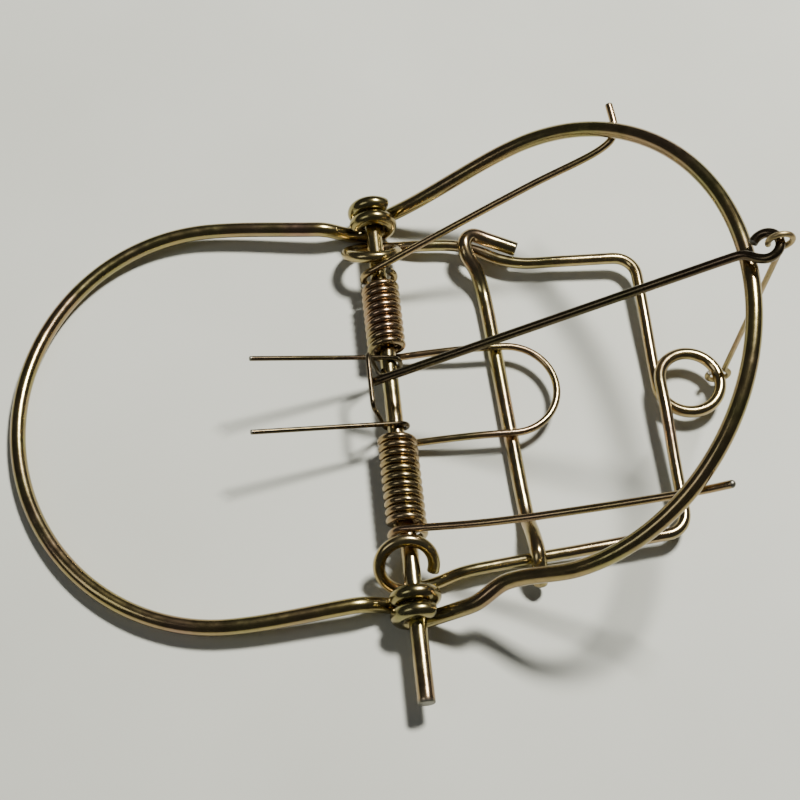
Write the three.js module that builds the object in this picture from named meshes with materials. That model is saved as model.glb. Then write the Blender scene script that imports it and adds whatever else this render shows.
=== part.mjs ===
// Set snap trap of bent, yellow-plated steel wire.
// Millimetres. +X from the axle towards the base frame, +Y along the axle to its far end,
// +Z up. The trap stands on z = 0 with the axle's middle at x = 0, y = 0.
import * as THREE from 'three';

// ---- driving dimensions -------------------------------------------------
const GAP = 0.3;                    // clearance between pieces that touch

const JAW_WIRE_R = 1.8;
const AXLE_R = 1.9;
const FRAME_WIRE_R = 1.35;
const BAR_R = 1.7;
const SPRING_WIRE_R = 0.85;
const TRIGGER_WIRE_R = 0.55;
const SEAR_R = 1.0;
const LINK_R = 0.65;

const JAW_SIDES = 12;               // facets of the jaw wire, one of them facing down
const JAW_EYE_R = AXLE_R + GAP + JAW_WIRE_R;
const AXLE_Z = JAW_EYE_R + JAW_WIRE_R + 0.01;
const AXLE_REAR_Y = 53.6;
const AXLE_FRONT_Y = -69.4;

// offsetY shifts the bow sideways; lift is how far the legs rise next to the eye.
const REST_JAW = { eyeY: 46.6, halfWidth: 49, straight: 38.5, bow: 44.5, offsetY: 0, lift: 3.4 };
const STRIKE_JAW = { eyeY: 50.5, halfWidth: 51.5, straight: 37, bow: 47.4, offsetY: 1.5, lift: 0 };
const STRIKE_ANGLE = rad(37.2);     // of the set jaw's plane above the ground
const STRIKE_JOG = { start: 11, end: 20, inset: 2.4 };
const JAW_LIFT_END = 13;
const BOW_STEPS = 36;

const FRAME_AXLE_Z = 2.7;           // height of the side wires at the axle
const FRAME_END_Z = 4.7;            // and at the far end, which stands a little clear
const FRAME_END_X = 60.9;
const FRAME_REAR_Y = 34.4;
const FRAME_FRONT_Y = -36.4;
const FRAME_LOOP_R = 7.1;
const FRAME_LOOP_DROP = 2 * FRAME_WIRE_R + GAP;
const FRAME_CORNER_R = 5;
const RING_R = 5.9;                 // the frame's end rings, loose around the axle
const RING_TILT = rad(48);
const RING_Y = 39.2;
const RING_TURN = rad(290);

const COIL_R = 3.65;
const COIL_PITCH = 1.9;
const COIL_OUTER_Y = 30.2;
const BRIDGE_REAR_Y = 12.6;
const BRIDGE_FRONT_Y = -9.4;
const BRIDGE_BEND_X = 26.5;
const BRIDGE_Z = 2 * BAR_R + GAP + SPRING_WIRE_R;
const LEG_RING_Y = COIL_OUTER_Y + 2 * SPRING_WIRE_R + GAP;

const TRIGGER_EYE_R = AXLE_R + GAP + TRIGGER_WIRE_R;
const REAR_PRONG_RISE = rad(18);
const FRONT_PRONG_RISE = rad(14);
const PRONG_LENGTH = 33.5;
const PRONG_LEAN = 3.6;             // sideways at the tips, towards the axle's long end
const TRIGGER_MID_Y = 1.3;
const PRONG_HALF_GAP = 8.3;
const TRIGGER_BRIDGE_R = 10;        // from the axle to the bar that holds the sear down
const TRIGGER_STEP = 1.6;           // sideways shift within each eye

const SEAR_Y = 1.5;
const SEAR_SLOPE = rad(31.2);
const SEAR_FROM_AXLE = TRIGGER_BRIDGE_R - TRIGGER_WIRE_R - SEAR_R - GAP;
const SEAR_TIP_PAST_BRIDGE = 1.4;
const SEAR_REACH = 92;              // from the trigger's bar to the link's pivot
const SEAR_EYE_R = 2.9;
const LINK_EYE_R = 2.5;

// ---- vectors and paths --------------------------------------------------
const X = new THREE.Vector3(1, 0, 0);
const Y = new THREE.Vector3(0, 1, 0);
const Z = new THREE.Vector3(0, 0, 1);

function rad(degrees) {
  return degrees * Math.PI / 180;
}

function v(x, y, z) {
  return new THREE.Vector3(x, y, z);
}

// Points of an arc about centre, in the plane of the unit vectors u and w.
function arc(centre, u, w, radius, from, to, steps, drift = v(0, 0, 0)) {
  const points = [];
  for (let i = 0; i <= steps; i++) {
    const angle = from + (to - from) * i / steps;
    points.push(centre.clone()
      .addScaledVector(u, radius * Math.cos(angle))
      .addScaledVector(w, radius * Math.sin(angle))
      .addScaledVector(drift, i / steps));
  }
  return points;
}

// A smooth run through a few hand-placed points.
function bend(points, steps) {
  const curve = new THREE.CatmullRomCurve3(points, false, 'centripetal');
  return curve.getSpacedPoints(steps);
}

// Join runs of points, dropping repeats where one run ends and the next begins.
function join(...runs) {
  const path = [];
  for (const point of runs.flat()) {
    const last = path.at(-1);
    if (!last || last.distanceTo(point) > 0.05) path.push(point);
  }
  return path;
}

function mirrorY(points) {
  return points.map((p) => v(p.x, -p.y, p.z));
}

// ---- round wire swept along a path --------------------------------------
// At path point `anchor` the section has a facet across `down`; from there it is carried
// along both ways without twist.
function sweep(path, radius, sides, { down = v(0, 0, -1), anchor = 0 } = {}) {
  const tangents = path.map((p, i) => {
    const before = path[Math.max(i - 1, 0)];
    const after = path[Math.min(i + 1, path.length - 1)];
    return after.clone().sub(before).normalize();
  });
  const normals = [];
  normals[anchor] = down.clone().projectOnPlane(tangents[anchor]).normalize();
  for (let i = anchor + 1; i < path.length; i++) {
    normals[i] = carried(normals[i - 1], tangents[i - 1], tangents[i]);
  }
  for (let i = anchor - 1; i >= 0; i--) {
    normals[i] = carried(normals[i + 1], tangents[i + 1], tangents[i]);
  }
  const positions = [];
  path.forEach((centre, i) => {
    const side = tangents[i].clone().cross(normals[i]);
    for (let k = 0; k < sides; k++) {
      const angle = 2 * Math.PI * (k + 0.5) / sides;
      const point = centre.clone()
        .addScaledVector(normals[i], radius * Math.cos(angle))
        .addScaledVector(side, radius * Math.sin(angle));
      positions.push(point.x, point.y, point.z);
    }
  });
  return closedTube(positions, path.length, sides);
}

function carried(normal, tangent, nextTangent) {
  const turn = new THREE.Quaternion().setFromUnitVectors(tangent, nextTangent);
  return normal.clone().applyQuaternion(turn).projectOnPlane(nextTangent).normalize();
}

function closedTube(positions, rings, sides) {
  const index = [];
  for (let i = 0; i + 1 < rings; i++) {
    for (let k = 0; k < sides; k++) {
      const a = i * sides + k;
      const b = i * sides + (k + 1) % sides;
      index.push(a, b, b + sides, a, b + sides, a + sides);
    }
  }
  const lastRing = (rings - 1) * sides;
  for (let k = 1; k + 1 < sides; k++) {
    index.push(0, k + 1, k);
    index.push(lastRing, lastRing + k, lastRing + k + 1);
  }
  const geometry = new THREE.BufferGeometry();
  geometry.setAttribute('position', new THREE.Float32BufferAttribute(positions, 3));
  geometry.setIndex(index);
  geometry.computeVertexNormals();
  return geometry;
}

// ---- finishes -----------------------------------------------------------
const PLATED = { color: 0xb79a45, roughness: 0.22, metalness: 1 };
const PLATED_DARK = { color: 0x7c6a34, roughness: 0.26, metalness: 1 };
const SPRING_STEEL = { color: 0xa78f4a, roughness: 0.24, metalness: 1 };
const LINK_OLIVE = { color: 0x8a7a45, roughness: 0.34, metalness: 1 };

const trap = new THREE.Group();
trap.name = 'snap_trap';

function addWire(name, geometry, finish) {
  const mesh = new THREE.Mesh(geometry, new THREE.MeshStandardMaterial(finish));
  mesh.name = name;
  trap.add(mesh);
}

// ---- jaws ---------------------------------------------------------------
// A jaw is laid out in its own plane: x away from the axle, y sideways, z across the
// plane, with the axle as origin.
function jawHeight(jaw, x) {
  const reach = jaw.straight + jaw.bow;
  const rise = THREE.MathUtils.smoothstep(x, 3, JAW_LIFT_END);
  return -JAW_EYE_R + jaw.lift * rise * (reach - x) / (reach - JAW_LIFT_END);
}

// One leg, from the cut end of the eye to the bow.
function jawLeg(jaw, side, jog) {
  const eye = arc(v(0, jaw.eyeY, 0), X, Z, JAW_EYE_R, rad(-355), rad(-90), 16);
  const bowY = jaw.halfWidth + side * jaw.offsetY;
  const leg = [];
  for (let x = 3; x < jaw.straight - 1; x += 2.8) {
    const spread = THREE.MathUtils.smoothstep(x, 4, jaw.straight);
    const inset = jog ? jogInset(x, jog, jaw.straight) : 0;
    leg.push(v(x, THREE.MathUtils.lerp(jaw.eyeY, bowY, spread) - inset, jawHeight(jaw, x)));
  }
  const path = join(eye, leg);
  return side > 0 ? path : mirrorY(path).reverse();
}

// The set-in stretch by which a leg clears its own eye.
function jogInset(x, jog, straight) {
  const rise = THREE.MathUtils.smoothstep(x, jog.start, jog.end);
  const fall = THREE.MathUtils.smoothstep(x, jog.end, straight);
  return jog.inset * (rise - fall);
}

function jawPath(jaw, frontJog) {
  const bow = [];
  for (let i = 0; i <= BOW_STEPS; i++) {
    const angle = Math.PI * i / BOW_STEPS;
    const x = jaw.straight + jaw.bow * Math.sin(angle);
    bow.push(v(x, jaw.offsetY + jaw.halfWidth * Math.cos(angle), jawHeight(jaw, x)));
  }
  return join(jawLeg(jaw, 1), bow, jawLeg(jaw, -1, frontJog));
}

function placeOnAxle(points, direction, angle) {
  return points.map((p) => v(
    direction * (p.x * Math.cos(angle) - p.z * Math.sin(angle)),
    p.y,
    AXLE_Z + p.x * Math.sin(angle) + p.z * Math.cos(angle),
  ));
}

// The rest jaw leans until the facet under its far end is on the ground.
const restDrop = AXLE_Z - JAW_EYE_R - JAW_WIRE_R * Math.cos(Math.PI / JAW_SIDES);
const restAngle = -Math.asin(restDrop / (REST_JAW.straight + REST_JAW.bow));
const restPath = placeOnAxle(jawPath(REST_JAW), -1, restAngle);
const farEnd = (restPath.length - 1) / 2;
addWire('rest_jaw', sweep(restPath, JAW_WIRE_R, JAW_SIDES, { anchor: farEnd }), PLATED);

const strikePath = placeOnAxle(jawPath(STRIKE_JAW, STRIKE_JOG), 1, STRIKE_ANGLE);
addWire('striking_jaw', sweep(strikePath, JAW_WIRE_R, JAW_SIDES), PLATED);

// ---- axle ---------------------------------------------------------------
const axlePath = [v(0, AXLE_REAR_Y, AXLE_Z), v(0, 0, AXLE_Z), v(0, AXLE_FRONT_Y, AXLE_Z)];
addWire('axle_rod', sweep(axlePath, AXLE_R, 16), PLATED);

// ---- base frame ---------------------------------------------------------
// The rear end ring: from its free end over the axle and under it, out to the side wire.
function endRing() {
  const rise = v(0, -Math.cos(RING_TILT), Math.sin(RING_TILT));
  const centre = v(-1, RING_Y, AXLE_Z);
  const low = -Math.PI / 2;
  return arc(centre, X, rise, RING_R, low - RING_TURN, low, 26);
}

const ring = endRing();
const lowRim = ring.at(-1);
const sideZ = (x) => THREE.MathUtils.lerp(FRAME_AXLE_Z, FRAME_END_Z, x / FRAME_END_X);
const onSide = (x, y) => v(x, y, sideZ(x));
const cornerX = FRAME_END_X - FRAME_CORNER_R;
const rearSide = bend([
  lowRim,
  v(4.6, 42.8, 1.8),
  onSide(11, 42.0),
  onSide(19, 41.3),
  onSide(24, 39.4),
  onSide(29, 36.6),
  onSide(34, 35.1),
  onSide(44, 34.7),
  onSide(cornerX, FRAME_REAR_Y),
], 32);
const frontSide = bend([
  v(lowRim.x, -lowRim.y, lowRim.z),
  v(4.6, -42.4, 1.8),
  onSide(11, -40.8),
  onSide(20, -39.7),
  onSide(37, -38.2),
  onSide(cornerX, FRAME_FRONT_Y),
], 26).reverse();

const rearCorner = arc(
  onSide(cornerX, FRAME_REAR_Y - FRAME_CORNER_R), Y, X, FRAME_CORNER_R, 0, Math.PI / 2, 6,
);
const frontCorner = arc(
  onSide(cornerX, FRAME_FRONT_Y + FRAME_CORNER_R), X, Y, FRAME_CORNER_R, 0, -Math.PI / 2, 6,
);
// The end wire dips to start the loop beneath and leaves it on top.
const loopLow = v(FRAME_END_X, 0, FRAME_END_Z - FRAME_LOOP_DROP / 2);
const loopHigh = v(FRAME_END_X, 0, FRAME_END_Z + FRAME_LOOP_DROP / 2);
const rearEnd = bend([
  rearCorner.at(-1),
  v(FRAME_END_X, 20, FRAME_END_Z - 0.5),
  v(FRAME_END_X, 7, loopLow.z),
  loopLow,
], 8);
const loop = arc(
  v(FRAME_END_X + FRAME_LOOP_R, 0, loopLow.z),
  X, Y, FRAME_LOOP_R, Math.PI, 3 * Math.PI, 30, v(0, 0, FRAME_LOOP_DROP),
);
const frontEnd = bend([
  loopHigh,
  v(FRAME_END_X, -7, loopHigh.z),
  v(FRAME_END_X, -20, FRAME_END_Z + 0.3),
  frontCorner[0],
], 8);
const framePath = join(
  ring, rearSide, rearCorner, rearEnd, loop, frontEnd, frontCorner,
  frontSide, mirrorY(ring).reverse(),
);
addWire('base_frame', sweep(framePath, FRAME_WIRE_R, 8), PLATED);

// ---- cross bar ----------------------------------------------------------
// It lies on the ground between the side wires and rises over each of them at its ends.
const BAR_OVER = BAR_R + FRAME_WIRE_R + GAP;
const barFront = bend([
  v(26.4, -22, BAR_R),
  v(26.8, -29.5, BAR_R + 0.5),
  v(27.0, -34.5, sideZ(27) + 1.6),
  v(27.1, -39.2, sideZ(27) + BAR_OVER),
  v(27.2, -42.6, sideZ(27) + 1.7),
  v(27.3, -44.6, sideZ(27) - 0.9),
], 20);
const barRear = bend([
  v(24.9, 22, BAR_R),
  v(24.4, 28.5, BAR_R + 0.3),
  v(23.2, 33.3, sideZ(22) + 0.6),
  v(21.2, 36.8, sideZ(22) + 2.6),
  v(20.9, 39.9, sideZ(22) + BAR_OVER + 0.1),
  v(23.0, 42.2, sideZ(22) + 2.7),
  v(27.0, 41.2, sideZ(27) + 1.5),
  v(33.3, 38.5, sideZ(33) + 0.7),
], 28).reverse();
addWire('cross_bar', sweep(join(barRear, barFront), BAR_R, 10), PLATED);

// ---- double torsion spring ----------------------------------------------
// A coil from its outer end to the bridge, closed at the bottom of the axle.
function coil(innerY, side) {
  const length = COIL_OUTER_Y - Math.abs(innerY);
  const turn = 2 * Math.PI * length / COIL_PITCH;
  const steps = Math.round(turn / rad(28));
  return arc(
    v(0, side * COIL_OUTER_Y, AXLE_Z), X, Z, COIL_R, -Math.PI / 2 - turn, -Math.PI / 2, steps,
    v(0, -side * length, 0),
  );
}

const armStart = AXLE_Z - COIL_R;
const bridgeMid = (BRIDGE_REAR_Y + BRIDGE_FRONT_Y) / 2;
const bridgeR = (BRIDGE_REAR_Y - BRIDGE_FRONT_Y) / 2;
const rearArm = bend([
  v(0, BRIDGE_REAR_Y, armStart),
  v(8, BRIDGE_REAR_Y, armStart + 1.3),
  v(18, BRIDGE_REAR_Y, BRIDGE_Z - 0.1),
  v(BRIDGE_BEND_X, BRIDGE_REAR_Y, BRIDGE_Z),
], 8);
const frontArm = rearArm.map((p) => v(p.x, BRIDGE_FRONT_Y, p.z)).reverse();
const bridgeBow = arc(
  v(BRIDGE_BEND_X, bridgeMid, BRIDGE_Z), Y, X, bridgeR, 0, Math.PI, 16,
);
const springPath = join(
  coil(BRIDGE_REAR_Y, 1), rearArm, bridgeBow, frontArm, coil(BRIDGE_FRONT_Y, -1).reverse(),
);
addWire('spring_coils', sweep(springPath, SPRING_WIRE_R, 6), SPRING_STEEL);

// An outer leg with the coil's last turn, in the striking jaw's own plane. It leaves over
// the top of the axle and crosses to the jaw's underside.
const LEG_UNDER_JAW = -(JAW_EYE_R + JAW_WIRE_R + SPRING_WIRE_R + GAP);
const lastTurn = arc(v(0, LEG_RING_Y, 0), X, Z, COIL_R, rad(380), rad(80), 16);
const legStart = lastTurn.at(-1);
const rearLeg = join(lastTurn, bend([
  legStart,
  v(20, 36.6, 0),
  v(40, 40.8, -3.6),
  v(57, 44.2, LEG_UNDER_JAW),
  v(60.2, 45.6, LEG_UNDER_JAW),
  v(61.2, 48.2, LEG_UNDER_JAW),
  v(61.3, 54.0, LEG_UNDER_JAW + 0.8),
], 20));
const frontLeg = join(mirrorY(lastTurn), bend([
  v(legStart.x, -LEG_RING_Y, legStart.z),
  v(20, -35.8, 0),
  v(42, -38.6, -4),
  v(64, -41.2, LEG_UNDER_JAW),
  v(71, -42.0, LEG_UNDER_JAW),
], 16));
for (const [name, leg] of [['rear_spring_leg', rearLeg], ['front_spring_leg', frontLeg]]) {
  addWire(name, sweep(placeOnAxle(leg, 1, STRIKE_ANGLE), SPRING_WIRE_R, 8), SPRING_STEEL);
}

// ---- trigger ------------------------------------------------------------
// A prong, the eye it makes round the axle and the arm up to the bar, for one side.
const bridgeAngle = Math.PI / 2 + SEAR_SLOPE;
const armOff = bridgeAngle + Math.acos(TRIGGER_EYE_R / TRIGGER_BRIDGE_R);

function triggerSide(side, rise) {
  const outer = TRIGGER_MID_Y + side * PRONG_HALF_GAP;
  const inner = outer - side * TRIGGER_STEP;
  const centre = v(0, outer, AXLE_Z);
  const eye = arc(
    centre, X, Z, TRIGGER_EYE_R, Math.PI / 2 - rise, armOff - 2 * Math.PI, 14, v(0, inner - outer, 0),
  );
  const prong = v(-PRONG_LENGTH * Math.cos(rise), -PRONG_LEAN, PRONG_LENGTH * Math.sin(rise));
  const tip = eye[0].clone().add(prong);
  const middle = eye[0].clone().addScaledVector(prong, 0.5);
  const top = v(
    TRIGGER_BRIDGE_R * Math.cos(bridgeAngle), inner,
    AXLE_Z + TRIGGER_BRIDGE_R * Math.sin(bridgeAngle),
  );
  const armDirection = top.clone().sub(eye.at(-1)).normalize();
  const bendStart = top.clone().addScaledVector(armDirection, -1.5);
  const bendEnd = top.clone().add(v(0, -side * 1.5, 0));
  const corner = new THREE.QuadraticBezierCurve3(bendStart, top, bendEnd).getPoints(5);
  return join([tip, middle], eye, corner);
}

const triggerPath = join(
  triggerSide(1, REAR_PRONG_RISE), triggerSide(-1, FRONT_PRONG_RISE).reverse(),
);
addWire('trigger_wire', sweep(triggerPath, TRIGGER_WIRE_R, 8), PLATED_DARK);

// ---- sear rod and link --------------------------------------------------
const searAlong = v(Math.cos(SEAR_SLOPE), 0, Math.sin(SEAR_SLOPE));
const searAcross = v(-Math.sin(SEAR_SLOPE), 0, Math.cos(SEAR_SLOPE));
const underBridge = v(0, SEAR_Y, AXLE_Z).addScaledVector(searAcross, SEAR_FROM_AXLE);
const onSear = (distance) => underBridge.clone().addScaledVector(searAlong, distance);
const linkPivot = onSear(SEAR_REACH);
const searEyeCentre = onSear(SEAR_REACH - SEAR_EYE_R);
const searNeck = onSear(SEAR_REACH - 2.6 * SEAR_EYE_R);
const searEye = arc(
  searEyeCentre, searAlong, Y, SEAR_EYE_R, rad(-130), rad(150), 16,
);
const searPath = join(
  [onSear(-SEAR_TIP_PAST_BRIDGE), onSear(20), onSear(50), onSear(SEAR_REACH - 12)],
  bend([
    searNeck.clone().add(v(0, -0.3, 0)),
    searEyeCentre.clone().addScaledVector(searAlong, -SEAR_EYE_R).add(v(0, -1.6, 0)),
    searEye[0],
  ], 4),
  searEye,
);
addWire('sear_rod', sweep(searPath, SEAR_R, 8), PLATED_DARK);

const loopRim = v(
  FRAME_END_X + FRAME_LOOP_R + Math.sqrt(FRAME_LOOP_R ** 2 - SEAR_Y ** 2), SEAR_Y, FRAME_END_Z,
);
const linkAxis = linkPivot.clone().sub(loopRim).normalize();
const linkSide = Y.clone().cross(linkAxis);
const lowerEye = arc(loopRim, linkAxis, linkSide, LINK_EYE_R, rad(300), rad(20), 16);
const upperEye = arc(linkPivot, linkAxis, linkSide, LINK_EYE_R, rad(160), rad(-120), 16);
addWire('link_wire', sweep(join(lowerEye, upperEye), LINK_R, 8), LINK_OLIVE);

// The origin is the middle of the trap's footprint, on the ground.
const bounds = new THREE.Box3().setFromObject(trap);
const footprint = bounds.getCenter(new THREE.Vector3()).setZ(bounds.min.z);
trap.position.copy(footprint).negate();

export default trap;
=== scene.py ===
# The looks of a set snap trap: every wire swept finely along its bent path, in yellow zinc plating.

import math

import bpy
import numpy as np
from mathutils import Matrix, Vector


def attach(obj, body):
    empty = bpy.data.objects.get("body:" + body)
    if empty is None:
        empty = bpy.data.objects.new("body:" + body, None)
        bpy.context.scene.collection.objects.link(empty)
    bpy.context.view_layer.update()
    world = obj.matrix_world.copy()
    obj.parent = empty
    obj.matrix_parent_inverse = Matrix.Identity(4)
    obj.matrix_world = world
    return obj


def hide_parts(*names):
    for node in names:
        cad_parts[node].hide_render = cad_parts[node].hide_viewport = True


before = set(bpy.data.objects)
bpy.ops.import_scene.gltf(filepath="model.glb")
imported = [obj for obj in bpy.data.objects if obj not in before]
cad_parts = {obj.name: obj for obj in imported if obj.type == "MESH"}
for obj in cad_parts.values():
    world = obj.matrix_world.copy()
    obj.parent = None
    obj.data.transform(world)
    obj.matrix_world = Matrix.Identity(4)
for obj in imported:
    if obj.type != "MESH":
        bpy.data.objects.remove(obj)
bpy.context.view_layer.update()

# ---- sizes, in millimetres from the axle's middle ------------------------
MM = 0.001
OFFSET = np.array((3.3475, 7.3308, 0.0))      # the axle's middle in the row frame

GAP = 0.3
JAW_R, AXLE_R, FRAME_R, BAR_R = 1.8, 1.9, 1.35, 1.7
SPRING_R, TRIGGER_R, SEAR_R = 0.85, 0.55, 1.0
# the round wires are drawn this thin to stay inside the faceted ones' box
JAW_SHOWN_R, AXLE_SHOWN_R, BAR_SHOWN_R, LINK_SHOWN_R = 1.735, 1.88, 1.685, 0.62

JAW_EYE_R = AXLE_R + GAP + JAW_R
AXLE_Z = JAW_EYE_R + JAW_R + 0.01
AXLE_REAR_Y, AXLE_FRONT_Y = 53.6, -69.4

REST = dict(eye_y=46.6, half=49.0, straight=38.5, bow=44.5, offset=0.0, lift=3.4)
STRIKE = dict(eye_y=50.5, half=51.5, straight=37.0, bow=47.4, offset=1.5, lift=0.0)
STRIKE_ANGLE = math.radians(37.2)
JOG = dict(start=11, end=20, inset=2.4)
JAW_EYE_FROM, JAW_EYE_TO = math.radians(-355), math.radians(-90)
JAW_LIFT_START, JAW_LIFT_END, JAW_FLARE_START = 3, 13, 4
JAW_FACETS = 12                               # of the wire in the frame, one facet on the ground
BOW_POINTS = 180

FRAME_AXLE_Z, FRAME_END_Z, FRAME_END_X = 2.7, 4.7, 60.9
FRAME_REAR_Y, FRAME_FRONT_Y = 34.4, -36.4
LOOP_R, LOOP_DROP, CORNER_R = 7.1, 2 * FRAME_R + GAP, 5.0
RING_R, RING_TILT, RING_Y, RING_TURN = 5.9, math.radians(48), 39.2, math.radians(290)

COIL_R, COIL_PITCH, COIL_OUTER_Y = 3.65, 1.9, 30.2
BRIDGE_REAR_Y, BRIDGE_FRONT_Y, BRIDGE_X = 12.6, -9.4, 26.5
BRIDGE_Z = 2 * BAR_R + GAP + SPRING_R
LEG_RING_Y = COIL_OUTER_Y + 2 * SPRING_R + GAP

TRIGGER_EYE_R = AXLE_R + GAP + TRIGGER_R
PRONG_LENGTH, PRONG_LEAN = 33.5, 3.6
REAR_RISE, FRONT_RISE = math.radians(18), math.radians(14)
TRIGGER_Y, PRONG_GAP, TRIGGER_STEP, TRIGGER_BRIDGE_R = 1.3, 8.3, 1.6, 10.0
TRIGGER_CORNER = 1.5

SEAR_Y, SEAR_SLOPE, SEAR_REACH, SEAR_EYE_R = 1.5, math.radians(31.2), 92.0, 2.9
SEAR_OFF = TRIGGER_BRIDGE_R - TRIGGER_R - SEAR_R - GAP
SEAR_PAST_BRIDGE, SEAR_NECK = 1.4, 12.0
LINK_EYE_R = 2.5

# ---- wire ends: (inset in mm, share of the radius) of a cut one, and where a round one's rings lie
CUT_END = ((0.03, 0.55), (0.0, 0.86), (0.05, 0.93), (0.16, 0.985))
ROUND_END = np.radians((8, 25, 42, 58, 74))

X, Y, Z = np.eye(3)


# ---- paths ----------------------------------------------------------------
def p(x, y, z):
    return np.array((x, y, z), float)


def unit(a):
    return a / np.linalg.norm(a)


def smooth(x, low, high):
    t = min(max((x - low) / (high - low), 0.0), 1.0)
    return t * t * (3 - 2 * t)


def lerp(a, b, t):
    return a + (b - a) * t


def arc(centre, u, w, radius, start, end, drift=(0, 0, 0)):
    """Points of an arc in the plane of u and w, about 0.4 mm apart."""
    steps = max(8, int(abs(end - start) * radius / 0.4))
    t = np.linspace(0, 1, steps + 1)[:, None]
    a = start + (end - start) * t
    return centre + radius * (np.cos(a) * u + np.sin(a) * w) + t * np.array(drift, float)


def bend(points):
    """A centripetal Catmull-Rom run through a few points."""
    pts = [np.array(q, float) for q in points]
    pts = [2 * pts[0] - pts[1]] + pts + [2 * pts[-1] - pts[-2]]
    out = []
    for p0, p1, p2, p3 in zip(pts, pts[1:], pts[2:], pts[3:]):
        t0 = max(np.linalg.norm(p1 - p0) ** 0.5, 1e-4)
        t1 = max(np.linalg.norm(p2 - p1) ** 0.5, 1e-4)
        t2 = max(np.linalg.norm(p3 - p2) ** 0.5, 1e-4)
        m1 = ((p1 - p0) / t0 - (p2 - p0) / (t0 + t1) + (p2 - p1) / t1) * t1
        m2 = ((p2 - p1) / t1 - (p3 - p1) / (t1 + t2) + (p3 - p2) / t2) * t1
        n = max(4, int(np.linalg.norm(p2 - p1) / 0.4))
        t = np.linspace(0, 1, n, endpoint=False)[:, None]
        a = 2 * t**3 - 3 * t**2 + 1
        b = t**3 - 2 * t**2 + t
        c = -2 * t**3 + 3 * t**2
        d = t**3 - t**2
        out.append(a * p1 + b * m1 + c * p2 + d * m2)
    out.append(pts[-2][None])
    return np.vstack(out)


def join(*runs):
    """One path of the runs, dropping repeats where one ends and the next begins."""
    path = np.vstack([np.atleast_2d(r) for r in runs])
    keep = np.ones(len(path), bool)
    keep[1:] = np.linalg.norm(np.diff(path, axis=0), axis=1) > 0.02
    return path[keep]


def mirror(points):
    return points * np.array((1, -1, 1))


def even(path, step):
    """The path with its points `step` apart and its joints between runs eased."""
    s = np.r_[0, np.cumsum(np.linalg.norm(np.diff(path, axis=0), axis=1))]
    n = max(4, int(round(s[-1] / step)))
    at = np.linspace(0, s[-1], n + 1)
    path = np.column_stack([np.interp(at, s, path[:, i]) for i in range(3)])
    for _ in range(3):
        path[1:-1] = path[1:-1] * 0.5 + (path[:-2] + path[2:]) * 0.25
    return path


# ---- wire meshes ------------------------------------------------------------
def section_frames(path):
    tangents = np.gradient(path, axis=0)
    tangents /= np.linalg.norm(tangents, axis=1)[:, None]
    helper = Z if abs(tangents[0][2]) < 0.9 else Y
    normal = unit(helper - tangents[0] * (helper @ tangents[0]))
    normals = [normal]
    for before, now in zip(tangents, tangents[1:]):
        turn = Vector(before).rotation_difference(Vector(now))
        carried = np.array(turn @ Vector(normals[-1]))
        normals.append(unit(carried - now * (carried @ now)))
    return tangents, np.array(normals)


def end_rings(radius, cut):
    """How far in and how wide the rings are at a cut end (chamfered) or a rounded one."""
    if cut == "round":
        return [(radius * (1 - math.cos(a)), radius * math.sin(a)) for a in ROUND_END]
    return [(inset, radius * share) for inset, share in CUT_END]


def points_under_end(radius, cut, step):
    """How many of the path's points an end takes the place of."""
    return math.ceil(radius * 1.02 / step) if cut == "round" else 1


def wire(name, path, radius, material, body, nodes, sides=24, step=0.6, ends=("cut", "cut")):
    """A round wire along the path: UV u runs along it in centimetres, v round it."""
    path = even(path, step)
    tangents, normals = section_frames(path)
    length = np.r_[0, np.cumsum(np.linalg.norm(np.diff(path, axis=0), axis=1))]
    rings = []
    for inset, r in end_rings(radius, ends[0]):
        rings.append((path[0] + tangents[0] * inset, tangents[0], normals[0], r, inset, 1.0))
    first = points_under_end(radius, ends[0], step)
    last = len(path) - points_under_end(radius, ends[1], step)
    for i in range(first, last):
        rings.append((path[i], tangents[i], normals[i], radius, length[i], 0.0))
    for inset, r in reversed(end_rings(radius, ends[1])):
        tip = path[-1] - tangents[-1] * inset
        rings.append((tip, tangents[-1], normals[-1], r, length[-1] - inset, 1.0))

    verts, faces, uvs, cut = [], [], [], []
    angles = 2 * np.pi * np.arange(sides) / sides
    for centre, tangent, normal, r, _, is_cut in rings:
        across = np.cross(tangent, normal)
        ring = centre + r * (np.cos(angles)[:, None] * normal + np.sin(angles)[:, None] * across)
        verts.extend(ring)
        cut.extend([is_cut] * sides)
    for i in range(len(rings) - 1):
        u0, u1 = rings[i][4] / 10, rings[i + 1][4] / 10
        for k in range(sides):
            a, b = i * sides + k, i * sides + (k + 1) % sides
            faces.append((a, b, b + sides, a + sides))
            v0, v1 = k / sides, (k + 1) / sides
            uvs.extend(((u0, v0), (u0, v1), (u1, v1), (u1, v0)))
    for ring_start, order in ((0, -1), ((len(rings) - 1) * sides, 1)):
        centre_index = len(verts)
        verts.append(np.mean(verts[ring_start:ring_start + sides], axis=0))
        cut.append(1.0)
        for k in range(sides):
            a, b = ring_start + k, ring_start + (k + 1) % sides
            faces.append((centre_index, a, b) if order > 0 else (centre_index, b, a))
            uvs.extend(((0, 0.5), (0, 0), (0, 1)))

    mesh = bpy.data.meshes.new(name)
    placed = (np.array(verts) + OFFSET) * MM
    mesh.from_pydata([tuple(q) for q in placed], [], faces)
    layer = mesh.uv_layers.new(name="UVMap")
    layer.data.foreach_set("uv", np.array(uvs, np.float32).ravel())
    bare = mesh.attributes.new("cut_end", "FLOAT", "POINT")
    bare.data.foreach_set("value", np.array(cut, np.float32))
    mesh.polygons.foreach_set("use_smooth", [True] * len(faces))
    mesh.materials.append(material)
    mesh.validate()
    piece = bpy.data.objects.new(name, mesh)
    bpy.context.scene.collection.objects.link(piece)
    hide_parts(*nodes)
    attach(piece, body)


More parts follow.
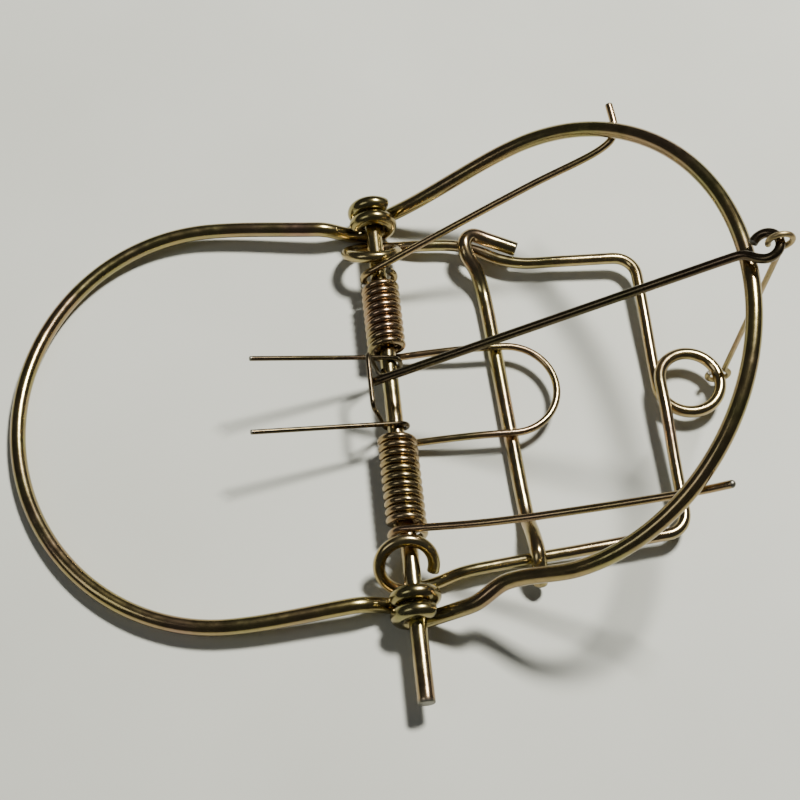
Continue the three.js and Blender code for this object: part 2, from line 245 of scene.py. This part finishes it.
# ---- plating ------------------------------------------------------------------
def plating(name, gold, pink, green, dark, roughness, tint=1.0, dull=0.0):
    """Yellow zinc on drawn wire: gold, pink and green drifts, die lines, specks and bare cut ends."""
    material = bpy.data.materials.new(name)
    material.use_nodes = True
    tree = material.node_tree
    nodes, links = tree.nodes, tree.links
    nodes.clear()
    out = nodes.new("ShaderNodeOutputMaterial")
    shader = nodes.new("ShaderNodeBsdfPrincipled")
    links.new(shader.outputs[0], out.inputs[0])
    shader.inputs["Metallic"].default_value = 1.0
    shader.inputs["IOR"].default_value = 1.5

    where = nodes.new("ShaderNodeTexCoord")
    uv = nodes.new("ShaderNodeUVMap")
    uv.uv_map = "UVMap"

    def noise(vector, scale, detail=3.0, rough=0.55, distortion=0.0):
        n = nodes.new("ShaderNodeTexNoise")
        n.inputs["Scale"].default_value = scale
        n.inputs["Detail"].default_value = detail
        n.inputs["Roughness"].default_value = rough
        n.inputs["Distortion"].default_value = distortion
        links.new(vector, n.inputs["Vector"])
        return n.outputs["Fac"]

    def stretched(scale):
        m = nodes.new("ShaderNodeMapping")
        m.inputs["Scale"].default_value = scale
        links.new(uv.outputs["UV"], m.inputs["Vector"])
        return m.outputs["Vector"]

    def ramp(value, *stops):
        r = nodes.new("ShaderNodeValToRGB")
        while len(r.color_ramp.elements) < len(stops):
            r.color_ramp.elements.new(0.5)
        for element, (position, level) in zip(r.color_ramp.elements, stops):
            element.position = position
            element.color = (*([level] * 3), 1) if isinstance(level, (int, float)) else (*level, 1)
        links.new(value, r.inputs["Fac"])
        return r.outputs["Color"]

    def mix(kind, factor, a, b):
        m = nodes.new("ShaderNodeMix")
        m.data_type = "RGBA"
        m.blend_type = kind
        for socket, value in ((m.inputs["Factor"], factor), (m.inputs["A"], a), (m.inputs["B"], b)):
            if isinstance(value, tuple):
                socket.default_value = (*value, 1)
            elif isinstance(value, (int, float)):
                socket.default_value = value
            else:
                links.new(value, socket)
        return m.outputs["Result"]

    position = where.outputs["Object"]
    # broad tints of the chromate film, drifting along the wire and round it
    pink_at = ramp(noise(position, 55, 2, 0.5, 0.4), (0.36, 0.0), (0.72, 0.8 * tint))
    green_at = ramp(noise(position, 80, 2, 0.5, 0.5), (0.42, 0.0), (0.78, 0.7 * tint))
    colour = mix("MIX", pink_at, gold, pink)
    colour = mix("MIX", green_at, colour, green)
    # darker drifts where the film is thick or rubbed with oil
    dark_at = ramp(noise(position, 230, 5, 0.62), (0.45, 0.0), (0.85, 0.45 + dull * 0.3))
    colour = mix("MIX", dark_at, colour, dark)
    # die lines from drawing
    lines = noise(stretched((0.5, 26, 1)), 3.0, 4, 0.7)
    colour = mix("MULTIPLY", 0.5, colour, ramp(lines, (0.3, 0.72), (0.62, 1.0)))
    # specks of dust and pitting
    specks = noise(position, 3200, 2, 0.5)
    colour = mix("MULTIPLY", 0.6, colour, ramp(specks, (0.28, 0.45), (0.4, 1.0)))
    # bare steel at the cut ends
    bare = nodes.new("ShaderNodeAttribute")
    bare.attribute_name = "cut_end"
    colour = mix("MIX", bare.outputs["Fac"], colour, (0.2, 0.19, 0.155))
    links.new(colour, shader.inputs["Base Color"])

    streak = ramp(lines, (0.3, roughness + 0.08), (0.7, roughness - 0.04))
    patch = ramp(noise(position, 420, 4, 0.6), (0.4, 0.0), (0.75, 1.0))
    rough = mix("MIX", patch, streak, (roughness + 0.10 + dull,) * 3)
    rough = mix("MIX", bare.outputs["Fac"], rough, (0.42, 0.42, 0.42))
    links.new(rough, shader.inputs["Roughness"])

    shallow = nodes.new("ShaderNodeBump")
    shallow.inputs["Strength"].default_value = 0.22
    shallow.inputs["Distance"].default_value = 0.00003
    links.new(lines, shallow.inputs["Height"])
    dents = nodes.new("ShaderNodeBump")
    dents.inputs["Strength"].default_value = 0.3
    dents.inputs["Distance"].default_value = 0.00025
    links.new(noise(position, 170, 2, 0.5), dents.inputs["Height"])
    links.new(shallow.outputs["Normal"], dents.inputs["Normal"])
    links.new(dents.outputs["Normal"], shader.inputs["Normal"])
    return material


jaw_finish = plating(
    "yellow_zinc_jaw", gold=(0.40, 0.32, 0.13), pink=(0.36, 0.22, 0.17), green=(0.27, 0.29, 0.11),
    dark=(0.09, 0.065, 0.03), roughness=0.16,
)
frame_finish = plating(
    "yellow_zinc_frame", gold=(0.50, 0.40, 0.18), pink=(0.44, 0.28, 0.21), green=(0.35, 0.35, 0.14),
    dark=(0.12, 0.08, 0.04), roughness=0.15,
)
spring_finish = plating(
    "yellow_zinc_spring", gold=(0.42, 0.31, 0.15), pink=(0.40, 0.25, 0.18), green=(0.30, 0.28, 0.12),
    dark=(0.11, 0.07, 0.04), roughness=0.18,
)
thin_finish = plating(
    "yellow_zinc_thin", gold=(0.13, 0.10, 0.055), pink=(0.13, 0.085, 0.065), green=(0.09, 0.09, 0.04),
    dark=(0.03, 0.022, 0.012), roughness=0.2, tint=0.8,
)
link_finish = plating(
    "yellow_zinc_link", gold=(0.42, 0.33, 0.15), pink=(0.40, 0.26, 0.17), green=(0.30, 0.29, 0.12),
    dark=(0.12, 0.09, 0.04), roughness=0.33, tint=0.8, dull=0.12,
)


# ---- jaws -----------------------------------------------------------------------
def jaw_height(jaw, x):
    reach = jaw["straight"] + jaw["bow"]
    rise = smooth(x, JAW_LIFT_START, JAW_LIFT_END)
    return -JAW_EYE_R + jaw["lift"] * rise * (reach - x) / (reach - JAW_LIFT_END)


def jog_inset(x, jog, straight):
    """How far the set-in stretch of a leg, by which it clears its own eye, stands in at x."""
    return jog["inset"] * (smooth(x, jog["start"], jog["end"]) - smooth(x, jog["end"], straight))


def jaw_leg(jaw, side, jog):
    eye = arc(p(0, jaw["eye_y"], 0), X, Z, JAW_EYE_R, JAW_EYE_FROM, JAW_EYE_TO)
    bow_y = jaw["half"] + side * jaw["offset"]
    leg = []
    for x in np.arange(1.5, jaw["straight"] - 1, 1.0):
        inset = jog_inset(x, jog, jaw["straight"]) if jog else 0.0
        y = lerp(jaw["eye_y"], bow_y, smooth(x, JAW_FLARE_START, jaw["straight"])) - inset
        leg.append((x, y, jaw_height(jaw, x)))
    path = join(eye, np.array(leg))
    return path if side > 0 else mirror(path)[::-1]


def jaw_path(jaw, jog=None):
    bow = []
    for angle in np.linspace(0, math.pi, BOW_POINTS):
        x = jaw["straight"] + jaw["bow"] * math.sin(angle)
        bow.append((x, jaw["offset"] + jaw["half"] * math.cos(angle), jaw_height(jaw, x)))
    return join(jaw_leg(jaw, 1, None), np.array(bow), jaw_leg(jaw, -1, jog))


def on_axle(points, direction, angle):
    c, s = math.cos(angle), math.sin(angle)
    x, y, z = np.array(points).T
    return np.column_stack((direction * (x * c - z * s), y, AXLE_Z + x * s + z * c))


# the rest jaw leans until the facet under its far end is on the ground
rest_drop = AXLE_Z - JAW_EYE_R - JAW_R * math.cos(math.pi / JAW_FACETS)
rest_angle = -math.asin(rest_drop / (REST["straight"] + REST["bow"]))
wire(
    "rest_jaw_wire", on_axle(jaw_path(REST), -1, rest_angle), JAW_SHOWN_R, jaw_finish,
    "rest", ["rest_jaw"],
)
wire(
    "striking_jaw_wire", on_axle(jaw_path(STRIKE, JOG), 1, STRIKE_ANGLE), JAW_SHOWN_R, jaw_finish,
    "striker", ["striking_jaw"],
)

# ---- axle --------------------------------------------------------------------------
axle = np.array([p(0, y, AXLE_Z) for y in (AXLE_REAR_Y, 0, AXLE_FRONT_Y)])
wire("axle_shaft", axle, AXLE_SHOWN_R, frame_finish, "base", ["axle_rod"], sides=32, step=1.0)

# ---- base frame ----------------------------------------------------------------------
rise = p(0, -math.cos(RING_TILT), math.sin(RING_TILT))
low = -math.pi / 2
ring = arc(p(-1, RING_Y, AXLE_Z), X, rise, RING_R, low - RING_TURN, low)


def side_z(x):
    return lerp(FRAME_AXLE_Z, FRAME_END_Z, x / FRAME_END_X)


def on_side(x, y):
    return p(x, y, side_z(x))


corner_x = FRAME_END_X - CORNER_R
rear_side = bend([
    ring[-1], p(4.6, 42.8, 1.8), on_side(11, 42.0), on_side(19, 41.3), on_side(24, 39.4),
    on_side(29, 36.6), on_side(34, 35.1), on_side(44, 34.7), on_side(corner_x, FRAME_REAR_Y),
])
front_side = bend([
    mirror(ring[-1]), p(4.6, -42.4, 1.8), on_side(11, -40.8), on_side(20, -39.7),
    on_side(37, -38.2), on_side(corner_x, FRAME_FRONT_Y),
])[::-1]
rear_corner = arc(on_side(corner_x, FRAME_REAR_Y - CORNER_R), Y, X, CORNER_R, 0, math.pi / 2)
front_corner = arc(on_side(corner_x, FRAME_FRONT_Y + CORNER_R), X, Y, CORNER_R, 0, -math.pi / 2)
loop_low = p(FRAME_END_X, 0, FRAME_END_Z - LOOP_DROP / 2)
loop_high = p(FRAME_END_X, 0, FRAME_END_Z + LOOP_DROP / 2)
rear_end = bend([
    rear_corner[-1], p(FRAME_END_X, 20, FRAME_END_Z - 0.5), p(FRAME_END_X, 7, loop_low[2]), loop_low,
])
loop = arc(p(FRAME_END_X + LOOP_R, 0, loop_low[2]), X, Y, LOOP_R, math.pi, 3 * math.pi, (0, 0, LOOP_DROP))
front_end = bend([
    loop_high, p(FRAME_END_X, -7, loop_high[2]), p(FRAME_END_X, -20, FRAME_END_Z + 0.3), front_corner[0],
])
frame_path = join(
    ring, rear_side, rear_corner, rear_end, loop,
    front_end, front_corner, front_side, mirror(ring)[::-1],
)
wire("base_frame_wire", frame_path, FRAME_R, frame_finish, "base", ["base_frame"], step=0.5)

# ---- cross bar --------------------------------------------------------------------------
over = BAR_R + FRAME_R + GAP
bar_front = bend([
    p(26.4, -22, BAR_R), p(26.8, -29.5, BAR_R + 0.5), p(27.0, -34.5, side_z(27) + 1.6),
    p(27.1, -39.2, side_z(27) + over), p(27.2, -42.6, side_z(27) + 1.7), p(27.3, -44.6, side_z(27) - 0.9),
])
bar_rear = bend([
    p(24.9, 22, BAR_R), p(24.4, 28.5, BAR_R + 0.3), p(23.2, 33.3, side_z(22) + 0.6),
    p(21.2, 36.8, side_z(22) + 2.6), p(20.9, 39.9, side_z(22) + over + 0.1), p(23.0, 42.2, side_z(22) + 2.7),
    p(27.0, 41.2, side_z(27) + 1.5), p(33.3, 38.5, side_z(33) + 0.7),
])[::-1]
wire(
    "cross_bar_wire", join(bar_rear, bar_front), BAR_SHOWN_R, frame_finish,
    "base", ["cross_bar"], sides=28, step=0.5,
)


# ---- spring ------------------------------------------------------------------------------
def coil(inner_y, side):
    length = COIL_OUTER_Y - abs(inner_y)
    turn = 2 * math.pi * length / COIL_PITCH
    return arc(p(0, side * COIL_OUTER_Y, AXLE_Z), X, Z, COIL_R, low - turn, low, (0, -side * length, 0))


arm_z = AXLE_Z - COIL_R
rear_arm = bend([
    p(0, BRIDGE_REAR_Y, arm_z), p(8, BRIDGE_REAR_Y, arm_z + 1.3),
    p(18, BRIDGE_REAR_Y, BRIDGE_Z - 0.1), p(BRIDGE_X, BRIDGE_REAR_Y, BRIDGE_Z),
])
front_arm = rear_arm.copy()[::-1]
front_arm[:, 1] = BRIDGE_FRONT_Y
bridge_mid = (BRIDGE_REAR_Y + BRIDGE_FRONT_Y) / 2
bridge = arc(p(BRIDGE_X, bridge_mid, BRIDGE_Z), Y, X, (BRIDGE_REAR_Y - BRIDGE_FRONT_Y) / 2, 0, math.pi)
coils = join(coil(BRIDGE_REAR_Y, 1), rear_arm, bridge, front_arm, coil(BRIDGE_FRONT_Y, -1)[::-1])
wire(
    "spring_wire", coils, SPRING_R, spring_finish,
    "base", ["spring_coils"], sides=14, step=0.45,
)

# the outer legs, in the striking jaw's own plane: over the axle's top and across to the jaw's underside

under_jaw = -(JAW_EYE_R + JAW_R + SPRING_R + GAP)
last_turn = arc(p(0, LEG_RING_Y, 0), X, Z, COIL_R, math.radians(380), math.radians(80))
rear_leg = join(last_turn, bend([
    last_turn[-1], p(20, 36.6, 0), p(40, 40.8, -3.6), p(57, 44.2, under_jaw),
    p(60.2, 45.6, under_jaw), p(61.2, 48.2, under_jaw), p(61.3, 54.0, under_jaw + 0.8),
]))
front_leg = join(mirror(last_turn), bend([
    mirror(last_turn[-1]), p(20, -35.8, 0), p(42, -38.6, -4), p(64, -41.2, under_jaw),
    p(71, -42.0, under_jaw),
]))
for name, leg, tip in (("rear", rear_leg, "cut"), ("front", front_leg, "round")):
    wire(
        f"{name}_leg_wire", on_axle(leg, 1, STRIKE_ANGLE), SPRING_R, spring_finish,
        "striker", [f"{name}_spring_leg"], sides=16, step=0.45, ends=("cut", tip),
    )

# ---- trigger -------------------------------------------------------------------------------
bridge_angle = math.pi / 2 + SEAR_SLOPE
arm_off = bridge_angle + math.acos(TRIGGER_EYE_R / TRIGGER_BRIDGE_R)


def trigger_side(side, rise):
    """A prong, the eye it makes round the axle and the arm up to the bar, for one side."""
    outer = TRIGGER_Y + side * PRONG_GAP
    inner = outer - side * TRIGGER_STEP
    eye = arc(
        p(0, outer, AXLE_Z), X, Z, TRIGGER_EYE_R, math.pi / 2 - rise, arm_off - 2 * math.pi,
        (0, inner - outer, 0),
    )
    away = p(-PRONG_LENGTH * math.cos(rise), -PRONG_LEAN, PRONG_LENGTH * math.sin(rise))
    prong = np.array([eye[0] + away * s for s in np.linspace(1, 0, 60)])
    top = p(
        TRIGGER_BRIDGE_R * math.cos(bridge_angle), inner,
        AXLE_Z + TRIGGER_BRIDGE_R * math.sin(bridge_angle),
    )
    a = top - unit(top - eye[-1]) * TRIGGER_CORNER
    b = top + p(0, -side * TRIGGER_CORNER, 0)
    t = np.linspace(0, 1, 12)[:, None]
    corner = (1 - t) ** 2 * a + 2 * t * (1 - t) * top + t**2 * b
    return join(prong, eye, corner)


prongs = join(trigger_side(1, REAR_RISE), trigger_side(-1, FRONT_RISE)[::-1])
wire(
    "trigger_prongs", prongs, TRIGGER_R, thin_finish,
    "trigger", ["trigger_wire"], sides=14, step=0.4,
)

# ---- sear rod and link ------------------------------------------------------------------------
along = p(math.cos(SEAR_SLOPE), 0, math.sin(SEAR_SLOPE))
across = p(-math.sin(SEAR_SLOPE), 0, math.cos(SEAR_SLOPE))


def on_sear(distance):
    return p(0, SEAR_Y, AXLE_Z) + across * SEAR_OFF + along * distance


pivot = on_sear(SEAR_REACH)
eye_centre = on_sear(SEAR_REACH - SEAR_EYE_R)
sear_eye = arc(eye_centre, along, Y, SEAR_EYE_R, math.radians(-130), math.radians(150))
sear_path = join(
    [on_sear(s) for s in np.linspace(-SEAR_PAST_BRIDGE, SEAR_REACH - SEAR_NECK, 160)],
    bend([on_sear(SEAR_REACH - SEAR_NECK), on_sear(SEAR_REACH - 2.6 * SEAR_EYE_R) + p(0, -0.3, 0),
          eye_centre - along * SEAR_EYE_R + p(0, -1.6, 0), sear_eye[0]]),
    sear_eye,
)
wire(
    "sear_wire", sear_path, SEAR_R, thin_finish,
    "sear", ["sear_rod"], sides=20, step=0.5, ends=("round", "cut"),
)

rim = p(FRAME_END_X + LOOP_R + math.sqrt(LOOP_R**2 - SEAR_Y**2), SEAR_Y, FRAME_END_Z)
link_up = unit(pivot - rim)
link_side = np.cross(Y, link_up)
lower_eye = arc(rim, link_up, link_side, LINK_EYE_R, math.radians(300), math.radians(20))
upper_eye = arc(pivot, link_up, link_side, LINK_EYE_R, math.radians(160), math.radians(-120))
straight = np.array([lerp(lower_eye[-1], upper_eye[0], t) for t in np.linspace(0, 1, 90)])
wire(
    "link_rod", join(lower_eye, straight, upper_eye), LINK_SHOWN_R, link_finish,
    "link", ["link_wire"], sides=14, step=0.4,
)


# ---- floor, lights, camera (metres) ----------------------------------------------------------------
FLOOR_HALF, FLOOR_Z = 3, -0.0001


def floor_material():
    material = bpy.data.materials.new("pale_table")
    material.use_nodes = True
    nodes, links = material.node_tree.nodes, material.node_tree.links
    shader = nodes["Principled BSDF"]
    where = nodes.new("ShaderNodeTexCoord")
    grain = nodes.new("ShaderNodeTexNoise")
    grain.inputs["Scale"].default_value = 14
    grain.inputs["Detail"].default_value = 4
    tone = nodes.new("ShaderNodeValToRGB")
    tone.color_ramp.elements[0].position = 0.35
    tone.color_ramp.elements[0].color = (0.60, 0.61, 0.54, 1)
    tone.color_ramp.elements[1].position = 0.7
    tone.color_ramp.elements[1].color = (0.65, 0.66, 0.59, 1)
    links.new(where.outputs["Object"], grain.inputs["Vector"])
    links.new(grain.outputs["Fac"], tone.inputs["Fac"])
    links.new(tone.outputs["Color"], shader.inputs["Base Color"])
    shader.inputs["Roughness"].default_value = 0.6
    shader.inputs["Specular IOR Level"].default_value = 0.3
    return material


floor_mesh = bpy.data.meshes.new("table_top")
corners = [(x * FLOOR_HALF, y * FLOOR_HALF, FLOOR_Z) for x, y in ((-1, -1), (1, -1), (1, 1), (-1, 1))]
floor_mesh.from_pydata(corners, [], [(0, 1, 2, 3)])
floor_mesh.materials.append(floor_material())
floor = bpy.data.objects.new("table_top", floor_mesh)
bpy.context.scene.collection.objects.link(floor)


def area_light(name, position, target, size, power, colour=(1, 1, 1)):
    light = bpy.data.lights.new(name, "AREA")
    light.shape = "RECTANGLE"
    light.size, light.size_y = size
    light.energy = power
    light.color = colour
    lamp = bpy.data.objects.new(name, light)
    lamp.location = position
    lamp.rotation_euler = (Vector(target) - Vector(position)).to_track_quat("-Z", "Y").to_euler()
    bpy.context.scene.collection.objects.link(lamp)


area_light("key", (0.36, 0.38, 0.95), (0, 0, 0), (0.2, 0.14), 22, (1.0, 0.985, 0.94))
area_light("fill", (-0.9, -0.2, 1.1), (0, 0, 0), (0.4, 0.7), 1.6, (0.96, 0.98, 1.0))

world = bpy.data.worlds.new("studio")
world.use_nodes = True
world.node_tree.nodes["Background"].inputs["Color"].default_value = (0.92, 0.95, 1.0, 1)
world.node_tree.nodes["Background"].inputs["Strength"].default_value = 0.055
bpy.context.scene.world = world

# the camera stands above the axle's near end and looks down past the trap's middle
yaw, pitch, roll = 0.196, 1.092, 0.105
CAMERA_AT = (-29.688, -157.77, 315.825)       # millimetres from the axle's middle
SENSOR, LENS = 36, 70.4385
forward = Vector((math.sin(yaw) * math.cos(pitch), math.cos(yaw) * math.cos(pitch), -math.sin(pitch)))
right = Vector((math.cos(yaw), -math.sin(yaw), 0))
up = right.cross(forward)
right_rolled = math.cos(roll) * right + math.sin(roll) * up
up_rolled = -math.sin(roll) * right + math.cos(roll) * up
spot = (Vector(CAMERA_AT) + Vector(OFFSET)) * MM
camera_data = bpy.data.cameras.new("camera")
camera_data.sensor_width = SENSOR
camera_data.lens = LENS
camera_data.clip_start = 0.01
camera = bpy.data.objects.new("camera", camera_data)
camera.matrix_world = Matrix((
    (right_rolled.x, up_rolled.x, -forward.x, spot.x),
    (right_rolled.y, up_rolled.y, -forward.y, spot.y),
    (right_rolled.z, up_rolled.z, -forward.z, spot.z),
    (0, 0, 0, 1),
))
bpy.context.scene.collection.objects.link(camera)
bpy.context.scene.camera = camera
